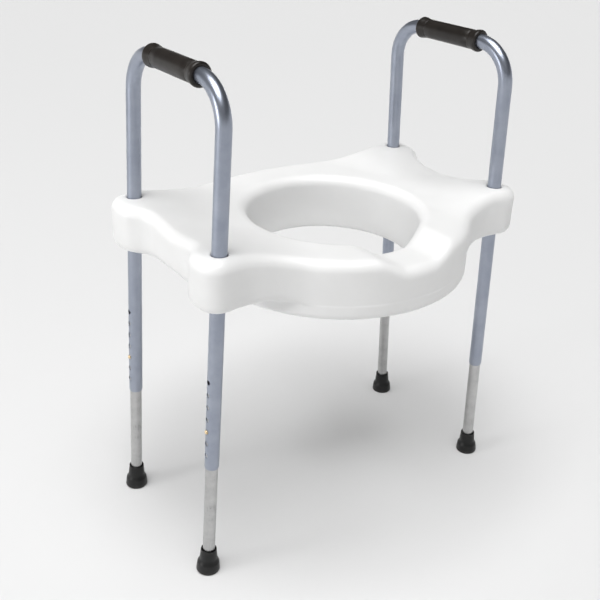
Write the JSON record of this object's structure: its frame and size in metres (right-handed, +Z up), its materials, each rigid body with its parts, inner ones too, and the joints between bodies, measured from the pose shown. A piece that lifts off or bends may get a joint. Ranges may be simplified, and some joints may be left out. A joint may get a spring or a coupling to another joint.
{
  "type": "raised toilet seat",
  "caption": "Raised toilet seat on telescopic legs with snap-button height adjustment and a tubular armrest hoop on each side.",
  "frame": {"origin": "on the floor, under the middle of the seat", "axes": "+X to the right as seen from the front, +Y to the back, +Z up; the scooped front of the seat faces -Y"},
  "size_m": [0.5582, 0.39, 0.7113],
  "materials": {
    "seat_plastic": "satin white moulded polyethylene",
    "hoop_tube": "satin silver-blue anodised",
    "leg_tube": "brushed, clear anodised",
    "grip_vinyl": "soft black-brown vinyl",
    "foot_rubber": "moulded black rubber",
    "steel": "zinc plated",
    "spring_steel": "bright spring steel",
    "button_brass": "polished"
  },
  "bodies": {
    "seat_frame": {"seat_shell": "seat_plastic", "support_pins": "steel", "lock_screws": "steel", "left_hoop": "hoop_tube", "left_grip": "grip_vinyl", "right_hoop": "hoop_tube", "right_grip": "grip_vinyl"},
    "left_front_leg": {"left_front_leg_tube": "leg_tube", "left_front_foot": "foot_rubber", "left_front_foot_washer": "steel", "left_front_spring_clip": "spring_steel"},
    "left_front_button": {"left_front_spring_leaf": "spring_steel", "left_front_snap_button": "button_brass"},
    "left_rear_leg": {"left_rear_leg_tube": "leg_tube", "left_rear_foot": "foot_rubber", "left_rear_foot_washer": "steel", "left_rear_spring_clip": "spring_steel"},
    "left_rear_button": {"left_rear_spring_leaf": "spring_steel", "left_rear_snap_button": "button_brass"},
    "right_front_leg": {"right_front_leg_tube": "leg_tube", "right_front_foot": "foot_rubber", "right_front_foot_washer": "steel", "right_front_spring_clip": "spring_steel"},
    "right_front_button": {"right_front_spring_leaf": "spring_steel", "right_front_snap_button": "button_brass"},
    "right_rear_leg": {"right_rear_leg_tube": "leg_tube", "right_rear_foot": "foot_rubber", "right_rear_foot_washer": "steel", "right_rear_spring_clip": "spring_steel"},
    "right_rear_button": {"right_rear_spring_leaf": "spring_steel", "right_rear_snap_button": "button_brass"}
  },
  "joints": [
    {"name": "left_front_leg_slide", "type": "slide", "parent": "seat_frame", "child": "left_front_leg", "axis": [0.0471, 0, 0.9989], "range_m": [-0.038, 0.076]},
    {"name": "left_front_button_press", "type": "hinge", "parent": "left_front_leg", "child": "left_front_button", "pos_m": [-0.25836, -0.084, 0.18857], "axis": [0, 1, 0], "range_deg": [0, 4.4], "stiffness_Nm_per_rad": 1.5, "springref_deg": -2.86},
    {"name": "left_rear_leg_slide", "type": "slide", "parent": "seat_frame", "child": "left_rear_leg", "axis": [0.0471, 0, 0.9989], "range_m": [-0.038, 0.076]},
    {"name": "left_rear_button_press", "type": "hinge", "parent": "left_rear_leg", "child": "left_rear_button", "pos_m": [-0.25836, 0.146, 0.18857], "axis": [0, 1, 0], "range_deg": [0, 4.4], "stiffness_Nm_per_rad": 1.5, "springref_deg": -2.86},
    {"name": "right_front_leg_slide", "type": "slide", "parent": "seat_frame", "child": "right_front_leg", "axis": [-0.0471, 0, 0.9989], "range_m": [-0.038, 0.076]},
    {"name": "right_front_button_press", "type": "hinge", "parent": "right_front_leg", "child": "right_front_button", "pos_m": [0.25836, -0.084, 0.18857], "axis": [0, -1, 0], "range_deg": [0, 4.4], "stiffness_Nm_per_rad": 1.5, "springref_deg": -2.86},
    {"name": "right_rear_leg_slide", "type": "slide", "parent": "seat_frame", "child": "right_rear_leg", "axis": [-0.0471, 0, 0.9989], "range_m": [-0.038, 0.076]},
    {"name": "right_rear_button_press", "type": "hinge", "parent": "right_rear_leg", "child": "right_rear_button", "pos_m": [0.25836, 0.146, 0.18857], "axis": [0, -1, 0], "range_deg": [0, 4.4], "stiffness_Nm_per_rad": 1.5, "springref_deg": -2.86}
  ]
}
